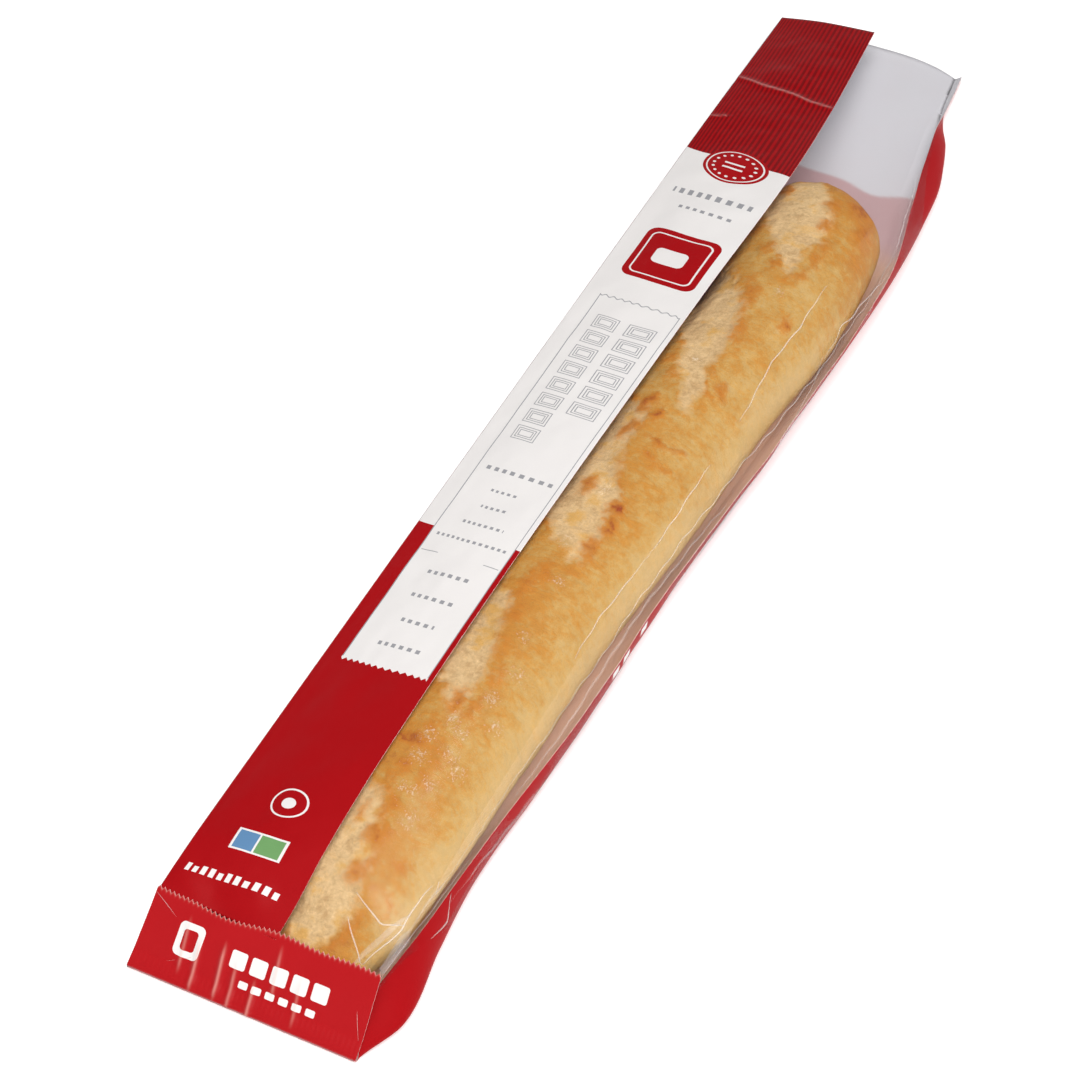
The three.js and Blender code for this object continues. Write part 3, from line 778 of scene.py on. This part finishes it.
def printed_paper_material(s):
    """Machine-glazed kraft paper, flexo printed: flat red ink with a satin skin over faint fibres."""
    n = Nodes("machine_glazed_paper_printed_red")
    along, across = n.sheet_axes()
    along = n.add(
        "Math",
        [
            n.add("Math", [across, FRONT_PRINT / 2], operation="SUBTRACT"),
            n.add("Attribute", out="Fac", attribute_name="skew"),
            along,
        ],
        operation="MULTIPLY_ADD",
    )
    panel, white, grey, stripes, panes = front_print(n, along, across)
    fibre, cloud = n.paper_grain(45.0)
    tone = n.add("Math", [n.sum_of((fibre, 0.35, 0.5), (cloud, 0.5, 0.5)), 0.5], operation="ADD", use_clamp=True)
    red = n.add(
        "Mix",
        {0: stripes, 6: n.add("Mix", {0: tone, 6: s.red_dark, 7: s.red}, 2, data_type="RGBA"), 7: s.stripe},
        2,
        data_type="RGBA",
    )
    paper = n.add("Mix", {0: tone, 6: s.paper_shade, 7: s.paper}, 2, data_type="RGBA")
    gusset = [n.block(along, across, x, x + 5, -184.5, -179.5) for x in (158.0, 166.5, 181.0)]
    white = n.either([n.add("Math", [white, panel], operation="MULTIPLY"), *gusset])
    colour = n.add("Mix", {0: white, 6: red, 7: paper}, 2, data_type="RGBA")
    colour = n.add(
        "Mix", {0: n.add("Math", [grey, white], operation="MULTIPLY"), 6: colour, 7: "#98989C"}, 2, data_type="RGBA"
    )
    for pane, ink in zip(panes, ("#5E86AE", "#6D9A62")):
        colour = n.add(
            "Mix", {0: n.add("Math", [pane, panel], operation="MULTIPLY"), 6: colour, 7: ink}, 2, data_type="RGBA"
        )
    # Painted highlight: the sharp creases are paled towards a pink sheen.
    colour = n.add(
        "Mix",
        {
            0: n.add("Math", [n.add("Attribute", out="Fac", attribute_name="pale_edge_and_crease_highlight"), 0.45], operation="MULTIPLY"),
            6: colour,
            7: "#E3A9A4",
        },
        2,
        data_type="RGBA",
    )
    bump = n.add(
        "Bump", {"Strength": 0.25, "Distance": 0.0004, "Height": n.sum_of((fibre, 0.5, 0.5), (cloud, 2.2, 0.5))}
    )
    return n.finish(
        Base_Color=colour, Roughness=n.sum_of((fibre, 0.12, -3.6), (white, 0.08, 0.0)), Normal=bump,
        Specular_IOR_Level=0.09,
    )


def flap_material(s):
    """The same printed paper on the end flap: red, lighter as painted light where the flap faces the lamps, with plain
    white marks, pale paper at its pinked top edge and painted highlights along its creases.
    """
    n = Nodes("machine_glazed_paper_flap")
    across, up = n.sheet_axes()
    rounded = functools.partial(n.rounded, up, across)
    fibre, cloud = n.paper_grain(60.0)
    tone = n.sum_of((fibre, 0.35, 0.5), (cloud, 0.5, 0.5))
    # Painted light: the flap's red is lighter than the front's, for the lamps it faces.
    red = n.add(
        "Mix",
        {0: n.add("Math", [tone, 0.5], operation="ADD", use_clamp=True), 6: s.red, 7: s.red_light},
        2,
        data_type="RGBA",
    )
    marks = [
        n.add(
            "Math",
            [rounded(12, 25.5, 14.5, 25.5, 2.4), rounded(14.6, 22.9, 17, 23, 1.4)],
            operation="SUBTRACT",
            use_clamp=True,
        )
    ]
    marks += [rounded(15.6, 22.4, 38 + 8.6 * k, 44.6 + 8.6 * k, 1) for k in range(5)]
    marks += [rounded(9.4, 12.2, 44 + 5.6 * k, 47.8 + 5.6 * k, 0.6) for k in range(6)]
    colour = n.add("Mix", {0: n.either(marks), 6: red, 7: s.paper}, 2, data_type="RGBA")
    # Pale paper at the pinked top edge, and a painted highlight along each crease.
    colour = n.add(
        "Mix",
        {
            0: n.add("Math", [n.add("Attribute", out="Fac", attribute_name="pale_edge_and_crease_highlight"), 0.6], operation="MULTIPLY"),
            6: colour,
            7: "#EDB3A6",
        },
        2,
        data_type="RGBA",
    )
    bump = n.add(
        "Bump", {"Strength": 0.25, "Distance": 0.0004, "Height": n.sum_of((fibre, 0.5, 0.5), (cloud, 1.0, 0.5))}
    )
    return n.finish(Base_Color=colour, Roughness=n.sum_of((fibre, 0.12, -2.8)), Normal=bump, Specular_IOR_Level=0.2)


def inner_paper_material(s):
    """The unprinted inside of the web: white, with the red ink showing through as a dull pink darkened as painted
    shade, and a painted warm reflection of the loaf beside it.
    """
    n = Nodes("kraft_paper_unprinted")
    fibre, cloud = n.paper_grain(70.0, 2.0, 1100.0)
    share = n.sum_of(
        # Pink show-through, darkened as painted shade inside the open bag.
        (n.add("Attribute", out="Fac", attribute_name="showing_and_shaded"), 1.0, 0.0), (cloud, 0.12, 0.5), (fibre, 0.1, 0.5)
    )
    colour = n.add("Mix", {0: share, 6: s.inner_paper, 7: s.show_through}, 2, data_type="RGBA")
    # Painted reflection of the loaf: a warm tint on the inside beside it.
    painted_loaf_bounce = n.sum_of((n.add("Attribute", out="Fac", attribute_name="painted_loaf_bounce"), 1.0, 0.0), (cloud, 0.5, 0.5))
    colour = n.add(
        "Mix",
        {
            0: n.add("MapRange", {0: painted_loaf_bounce, 1: 0.1, 2: 0.9}, interpolation_type="SMOOTHSTEP"),
            6: colour,
            7: s.warm_paper,
        },
        2,
        data_type="RGBA",
    )
    bump = n.add("Bump", {"Strength": 0.3, "Distance": 0.0004, "Height": fibre})
    return n.finish(Base_Color=colour, Roughness=0.7, Normal=bump)


def cut_edge_material():
    """The sheet's cut edge, where the white fibre of the paper shows past the ink."""
    n = Nodes("kraft_paper_cut_edge")
    fibre = n.add("TexNoise", {"Vector": n.add("TexCoord", out="Object"), "Scale": 900.0, "Detail": 3.0})
    colour = n.add(
        "Mix",
        {
            0: n.add("MapRange", {0: fibre, 1: 0.35, 2: 0.7}, interpolation_type="SMOOTHSTEP"),
            6: "#F1E4DF",
            7: "#D98F8C",
        },
        2,
        data_type="RGBA",
    )
    return n.finish(Base_Color=colour, Roughness=0.8)


def film_material(name, alpha):
    """Biaxial polypropylene film: clear, with a thin milky haze and sharp, slightly rippled reflections."""
    n = Nodes(name)
    ripple = n.add(
        "TexNoise", {"Vector": n.add("TexCoord", out="Object"), "Scale": 90.0, "Detail": 2.0, "Distortion": 0.4}
    )
    tint = n.add("Mix", {0: ripple, 6: "#4A4A4E", 7: "#3C3C40"}, 2, data_type="RGBA")
    bump = n.add("Bump", {"Strength": 0.35, "Distance": 0.0008, "Height": ripple})
    return n.finish(
        Base_Color=tint, Roughness=0.12, Normal=bump, Alpha=alpha, IOR=1.5, Coat_Weight=1.0, Coat_IOR=2.2,
        Coat_Roughness=0.2,
    )


def crease_highlight_film_material(name, alpha):
    """Painted highlight on the film's creases: a pale, half clear streak where the film would catch the light."""
    n = Nodes(name)
    return n.finish(
        Base_Color=linear("#F4EEEA"), Roughness=0.35, Alpha=alpha, IOR=1.5, Coat_Weight=1.0, Coat_Roughness=0.2,
    )


def crust_material(s):
    """Baked wheat crust: matt gold skin, toasted orange by the cuts, with pale torn crumb and floury blisters."""
    n = Nodes("baked_wheat_crust")
    place = n.add("TexCoord", out="Object")
    maps = {key: (n.add("Attribute", out="Fac", attribute_name=key), 0.0) for key in ("cut", "rim", "bake", "flour")}
    for key, size in {"broad": 26, "patch": 9, "grain": 3.4, "fine": 1.3, "dust": 0.55}.items():
        maps[key] = n.add(
            "TexNoise", {"Vector": place, "Scale": 1000.0 / size, "Detail": 4.0, "Roughness": 0.62}
        ), 0.5
    # The dough's skin stretches round the loaf as it springs, so its mottling runs across the length.
    stretched = n.add("Mapping", {"Vector": place, "Scale": (1.0, 0.42, 0.42)})
    maps["skin"] = n.add(
        "TexNoise", {"Vector": stretched, "Scale": 210.0, "Detail": 5.0, "Roughness": 0.68, "Distortion": 0.9}
    ), 0.5

    def total(**weights):
        """Adds these maps by weight, the noises about their middle."""
        return n.sum_of(*((maps[key][0], weight, maps[key][1]) for key, weight in weights.items()))

    # bake: the crust's browning, with painted shade on the right flank towards the tip.
    bake = total(bake=0.85, broad=0.8, patch=0.8, skin=1.5, grain=0.9, fine=0.95)
    skin = (-0.1, 0.55, s.crust_gold), (0.35, 0.95, s.crust_amber), (0.95, 1.6, s.crust_brown)
    colour = n.toned(bake, s.crust_pale, *skin)
    # Torn crumb: blotches of three tones over open cells, the darkest a painted shade for its hollows and the lightest
    # a painted highlight for its proud parts, and a soft border to the crust.
    opened = n.add(
        "MapRange",
        {0: total(cut=1.0, patch=5.0, grain=4.5, fine=2.0), 1: 2.2, 2: -3.6},
        interpolation_type="SMOOTHSTEP",
    )
    tear = n.add("Math", [total(patch=1.0, grain=0.55, fine=0.45, skin=0.5), 0.5], operation="ADD")
    crumb = n.toned(tear, s.crumb_shade, (0.2, 0.62, s.crumb), (0.6, 0.85, s.crumb_light))
    stain = n.add("Math", [total(patch=1.6, broad=1.1, skin=0.6), 0.8], operation="ADD")
    colour = n.add(
        "Mix", {0: opened, 6: colour, 7: n.toned(stain, crumb, (0.75, 1.15, s.crumb_gold))}, 2, data_type="RGBA"
    )
    rim = total(rim=1.0, grain=0.6, patch=0.5, fine=0.5)
    colour = n.add(
        "Mix",
        {
            0: n.add(
                "Math",
                [n.add("MapRange", {0: rim, 1: 0.1, 2: 0.72}, interpolation_type="SMOOTHSTEP"), 0.9],
                operation="MULTIPLY",
            ),
            6: colour,
            7: s.rim_amber,
        },
        2,
        data_type="RGBA",
    )
    colour = n.add(
        "Mix",
        {
            0: n.add("MapRange", {0: rim, 1: 0.62, 2: 1.15}, interpolation_type="SMOOTHSTEP"),
            6: colour,
            7: s.rim_red,
        },
        2,
        data_type="RGBA",
    )
    dusty = total(flour=0.62, grain=0.9, fine=1.9, dust=2.0)
    dusted = n.add(
        "Math",
        [n.add("MapRange", {0: dusty, 1: 0.5, 2: 1.05}, interpolation_type="SMOOTHSTEP"), 0.62],
        operation="MULTIPLY",
    )
    colour = n.add("Mix", {0: dusted, 6: colour, 7: s.flour}, 2, data_type="RGBA")
    shade = n.add("Math", [total(fine=0.34, dust=0.18, skin=0.4), 1.02], operation="ADD")
    colour = n.add(
        "Mix",
        {0: 1.0, 6: colour, 7: n.add("CombineColor", [shade, shade, shade])},
        2,
        data_type="RGBA",
        blend_type="MULTIPLY",
    )
    outer = n.add("Math", [dusted, 0.6, total(fine=1.0, skin=1.6, dust=0.5)], operation="MULTIPLY_ADD")
    torn = total(grain=0.8, fine=0.6, dust=0.3)
    bump = n.add(
        "Bump",
        {
            "Strength": 0.5,
            "Distance": 0.0008,
            "Height": n.add("Mix", {0: opened, 2: outer, 3: torn}, 0, data_type="FLOAT"),
        },
    )
    rough = n.sum_of((opened, 0.14, -4.6), (maps["grain"][0], 0.12, 0.5))
    return n.finish(Base_Color=colour, Roughness=rough, Normal=bump, IOR=1.45, Specular_IOR_Level=0.35)


# ------------------------------------------------------------------------------- sizes and colours


# Each colour's name, what it is on and its sRGB hex code.
COLOURS = {
    "crust_pale": ("Pale crust", "Lower sides", "#DBB473"),
    "crust_gold": ("Golden crust", "Most of the skin", "#D2A256"),
    "crust_amber": ("Amber crust", "Well baked patches", "#CA8A34"),
    "crust_brown": ("Brown crust", "The hottest parts", "#A8652A"),
    "rim_amber": ("Rim", "Edge of a cut", "#C97C22"),
    "rim_red": ("Scorched rim", "Darkest edge of a cut", "#9E4514"),
    "crumb": ("Crumb", "Torn crumb in a cut", "#E3C08D"),
    # crumb_light and crumb_shade: painted highlight and painted shade of the torn crumb.
    "crumb_light": ("Light crumb", "Proud parts of the torn crumb", "#F4D9AC"),
    "crumb_shade": ("Crumb shade", "Hollows of the crumb", "#CBA471"),
    "crumb_gold": ("Toasted crumb", "Toasted parts of the crumb", "#D9A85E"),
    "flour": ("Flour", "Floury blisters", "#F3E3CB"),
    "red": ("Red ink", "Printed ground", "#A80A12"),
    "red_dark": ("Red ink, thin", "Weaker ink", "#9B070E"),
    # red_light: a lighter red, painted light on the flap.
    "red_light": ("Red ink, full", "Stronger ink on the flap", "#B4171D"),
    "stripe": ("Stripes", "Dark stripes by the mouth", "#75060C"),
    "paper": ("Paper", "Unprinted ground", "#EBE8E6"),
    "paper_shade": ("Paper, thin", "Weaker parts of the ground", "#E2DEDD"),
    "inner_paper": ("Inside", "Inside of the web", "#DDDBE0"),
    # warm_paper: a painted reflection of the loaf on the inside of the web.
    "warm_paper": ("Warm inside", "Inside of the web beside the loaf", "#F0C8AC"),
    # show_through: red ink seen through the web, darkened as painted shade.
    "show_through": ("Show-through", "Ink seen through the web", "#CBA9AB"),
}


class BaguetteColours(bpy.types.PropertyGroup):
    __annotations__ = {
        key: StringProperty(name=name, description=where + ", sRGB hex", default=code)
        for key, (name, where, code) in COLOURS.items()
    }


def number(name, description, default, **kind):
    return FloatProperty(name=name, description=description, default=default, **kind)


class BaguetteSizes(bpy.types.PropertyGroup):
    paper_sheet: number("Paper sheet", "Thickness of the paper", 0.00022, unit="LENGTH", precision=5)
    film_sheet: number("Film sheet", "Thickness of the film", 0.00008, unit="LENGTH", precision=5)
    film_haze: number("Film haze", "How much each face of the film hides", 0.05, subtype="FACTOR")
    # How strong the painted highlight on the film's creases is.
    crease_highlight_strength: number("Crease haze", "How much each face of a crease in the film hides", 0.24, subtype="FACTOR")


class BaguetteStudio(bpy.types.PropertyGroup):
    azimuth: number("Azimuth", "Camera turn round the loaf", math.radians(-64.3), subtype="ANGLE")
    elevation: number("Elevation", "Camera height above the floor", math.radians(46), subtype="ANGLE")
    distance: number("Distance", "Camera to the point it looks at", 1.147, unit="LENGTH")
    lens: number("Lens", "Focal length in mm", 90.0, unit="CAMERA")
    key: number("Key", "Main soft light", 19.5, unit="POWER")
    top: number("Top", "Broad light overhead", 17.5, unit="POWER")
    rim: number("Rim", "Soft light beyond the loaf", 2.5, unit="POWER")
    room: number("Room", "Light from all round", 0.2)


LOOK_AT = (263.4, 5.6, 0.0)  # shop mm
FLOOR_REACH = 12.0
WHITE = (1.0, 1.0, 1.0, 1.0)


def settle(piece, node, slot_name, *materials):
    """Gives a piece its materials, hangs it on the root body and hides the part it stands for; slot_name is not used.
    """
    for material in materials:
        piece.data.materials.append(material)
    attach(piece, "root")
    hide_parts(node)


class BAGUETTE_OT_stage(bpy.types.Operator):
    """Lays the pale floor, hangs the soft lights and places the camera"""

    bl_idname = "baguette.stage"
    bl_label = "Stage"

    def execute(self, context):
        s = context.scene.baguette_studio
        aim = Vector(to_row(LOOK_AT))
        turn, lift = s.azimuth, s.elevation
        back = Vector((math.sin(turn) * math.cos(lift), -math.cos(turn) * math.cos(lift), math.sin(lift)))
        camera = new_object("camera", bpy.data.cameras.new("camera"), aim + back * s.distance, aim)
        camera.data.lens, camera.data.sensor_width = s.lens, 36.0
        camera.data.clip_start, camera.data.clip_end = 0.05, 50.0
        context.scene.camera = camera
        lights = [
            ("key_light", (-0.8, -0.5, 1.3), (0.0, 0.0, 0.0), 1.3, 1.2, s.key, (1.0, 0.99, 0.975)),
            ("top_light", (-0.05, -0.15, 1.8), (0.05, 0.0, 0.0), 1.8, 1.6, s.top, (1.0, 1.0, 1.0)),
            ("rim_light", (0.95, -0.95, 0.45), (0.05, 0.0, 0.0), 1.3, 0.4, s.rim, (0.97, 0.985, 1.0)),
        ]
        for name, place, target, wide, tall, power, tint in lights:
            light = bpy.data.lights.new(name, "AREA")
            light.shape, light.size, light.size_y = "RECTANGLE", wide, tall
            light.energy, light.color = power, tint
            new_object(name, light, place, target)
        world = bpy.data.worlds.new("soft_room")
        world.use_nodes = True
        background = world.node_tree.nodes["Background"]
        background.inputs[0].default_value, background.inputs[1].default_value = WHITE, s.room
        context.scene.world = world
        context.scene.view_settings.view_transform = "Standard"
        corners = [(x * FLOOR_REACH, y * FLOOR_REACH, -0.0004) for x, y in ((-1, -1), (1, -1), (1, 1), (-1, 1))]
        floor = mesh_piece("floor", corners, [(0, 1, 2, 3)])
        n = Nodes("painted_floor")
        colour = n.add(
            "Mix",
            {
                0: n.add("TexNoise", {"Vector": n.add("TexCoord", out="Object"), "Scale": 400.0, "Detail": 2.0}),
                6: "#FBFBFB",
                7: "#F8F8F8",
            },
            2,
            data_type="RGBA",
        )
        floor.data.materials.append(
            n.finish(Base_Color=colour, Roughness=0.8, Emission_Color=WHITE, Emission_Strength=0.3)
        )
        return {"FINISHED"}


class BAGUETTE_OT_loaf(bpy.types.Operator):
    """Bakes the loaf: its skin, its opened cuts and its crust"""

    bl_idname = "baguette.loaf"
    bl_label = "Loaf"

    def execute(self, context):
        grid, fields = risen_loaf()
        deep, wide = grid.shape[:2]
        index = np.arange(deep * wide).reshape(deep, wide)
        following = np.roll(index, -1, 1)
        faces = np.stack([index[:-1], index[1:], following[1:], following[:-1]], -1).reshape(-1, 4).tolist()
        tips = [grid[0].mean(0), grid[-1].mean(0)]
        for row, tip, turned in ((0, deep * wide, False), (deep - 1, deep * wide + 1, True)):
            for a, b in zip(index[row], following[row]):
                faces.append([tip, b, a] if turned else [tip, a, b])
        vertices = np.concatenate([grid.reshape(-1, 3), tips])
        tip_fields = {k: np.append(v.ravel(), [v[0].mean(), v[-1].mean()]) for k, v in fields.items()}
        piece = mesh_piece("loaf_crust", to_row(vertices), faces, None, tip_fields)
        settle(piece, "loaf", "crust", crust_material(context.scene.baguette_colours))
        return {"FINISHED"}


class BAGUETTE_OT_paper(bpy.types.Operator):
    """Folds the printed paper sleeve and its pinked end flap"""

    bl_idname = "baguette.paper"
    bl_label = "Paper sleeve"

    def execute(self, context):
        colours, sizes = context.scene.baguette_colours, context.scene.baguette_sizes
        inner, edge = inner_paper_material(colours), cut_edge_material()
        grid, sheet, pale_edge_and_crease_highlight = sleeve_points()
        # The inside is pink everywhere but near the mouth, where the back is bare: red ink showing through, darkened
        # as painted shade with a painted reflection of the red gussets where the bag stands open.
        curve = along_track(PINK_EDGE, sheet[..., 1].ravel())
        showing_and_shaded = ease(1.5, -1.5, sheet[..., 0] - curve.reshape(sheet.shape[:2]))
        # Painted reflection: the right gusset's inside is tinted warm along the loaf, as the loaf's golden light would
        # fall on it.
        along, across = sheet[..., 0], sheet[..., 1]
        painted_loaf_bounce = ease(-118, -150, across) * ease(12, 40, along) * ease(525, 470, along)
        skew = np.repeat(along_track(PRINT_SKEW, sheet[:, 0, 0]), sheet.shape[1], 1)
        fields = {"sheet": sheet, "skew": skew, "showing_and_shaded": showing_and_shaded, "painted_loaf_bounce": painted_loaf_bounce, "pale_edge_and_crease_highlight": pale_edge_and_crease_highlight}
        piece = sheet_piece("paper_sleeve_web", grid, sizes.paper_sheet / MM, fields)
        settle(piece, "paper_sleeve", "printed_paper", printed_paper_material(colours), inner, edge)
        grid, sheet, pale_edge_and_crease_highlight = flap_points()
        plain = np.ones(sheet.shape[:2])
        fields = {"sheet": sheet, "showing_and_shaded": plain, "painted_loaf_bounce": 0 * plain, "pale_edge_and_crease_highlight": pale_edge_and_crease_highlight}
        flap = sheet_piece("end_flap", grid, sizes.paper_sheet / MM, fields)
        settle(flap, "paper_sleeve", "printed_paper", flap_material(colours), inner, edge)
        return {"FINISHED"}


class BAGUETTE_OT_film(bpy.types.Operator):
    """Seals the clear film window between the paper's two edges"""

    bl_idname = "baguette.film"
    bl_label = "Window film"

    def execute(self, context):
        sizes = context.scene.baguette_sizes
        grid = film_points()
        piece = sheet_piece("window_film_web", grid, sizes.film_sheet / MM)
        clear = film_material("polypropylene_film_clear", sizes.film_haze)
        settle(piece, "window_film", "clear_film", clear, clear, clear)
        # Pale strips along the creases and pleats: painted highlights on the film.
        for name, creases, share in (("film_crease_highlights", FILM_CREASES, 1.0), ("film_pleat_glare", FILM_PLEATS, 0.35)):
            parts = [sheet_mesh(crease_ribbon(grid, line, width), sizes.film_sheet / MM) for width, line in creases]
            first = np.cumsum([0] + [len(vertices) for vertices, _, _ in parts[:-1]])
            piece = mesh_piece(
                name, to_row(np.concatenate([vertices for vertices, _, _ in parts])),
                np.concatenate([faces + start for (_, faces, _), start in zip(parts, first)]),
            )
            streaks = crease_highlight_film_material("polypropylene_" + name, sizes.crease_highlight_strength * share)
            settle(piece, "window_film", "clear_film", streaks)
        return {"FINISHED"}


class BAGUETTE_PT_panel(bpy.types.Panel):
    bl_idname = "BAGUETTE_PT_panel"
    bl_label = "Baguette"
    bl_space_type = "VIEW_3D"
    bl_region_type = "UI"
    bl_category = "Baguette"

    def draw(self, context):
        for step in STEPS:
            self.layout.operator(step.bl_idname)
        for group in (context.scene.baguette_sizes, context.scene.baguette_colours, context.scene.baguette_studio):
            box = self.layout.box()
            for key in group.bl_rna.properties.keys():
                if key not in ("name", "rna_type"):
                    box.prop(group, key)


GROUPS = {
    "baguette_colours": BaguetteColours,
    "baguette_sizes": BaguetteSizes,
    "baguette_studio": BaguetteStudio,
}
STEPS = (BAGUETTE_OT_stage, BAGUETTE_OT_loaf, BAGUETTE_OT_paper, BAGUETTE_OT_film)


def register():
    for group in GROUPS.values():
        bpy.utils.register_class(group)
    for name, group in GROUPS.items():
        setattr(bpy.types.Scene, name, PointerProperty(type=group))
    for step in (*STEPS, BAGUETTE_PT_panel):
        bpy.utils.register_class(step)


def unregister():
    for step in (BAGUETTE_PT_panel, *reversed(STEPS)):
        bpy.utils.unregister_class(step)
    for name in GROUPS:
        delattr(bpy.types.Scene, name)
    for group in reversed(GROUPS.values()):
        bpy.utils.unregister_class(group)


def main():
    register()
    bpy.ops.baguette.stage()
    bpy.ops.baguette.loaf()
    bpy.ops.baguette.paper()
    bpy.ops.baguette.film()


if __name__ == "__main__":
    main()
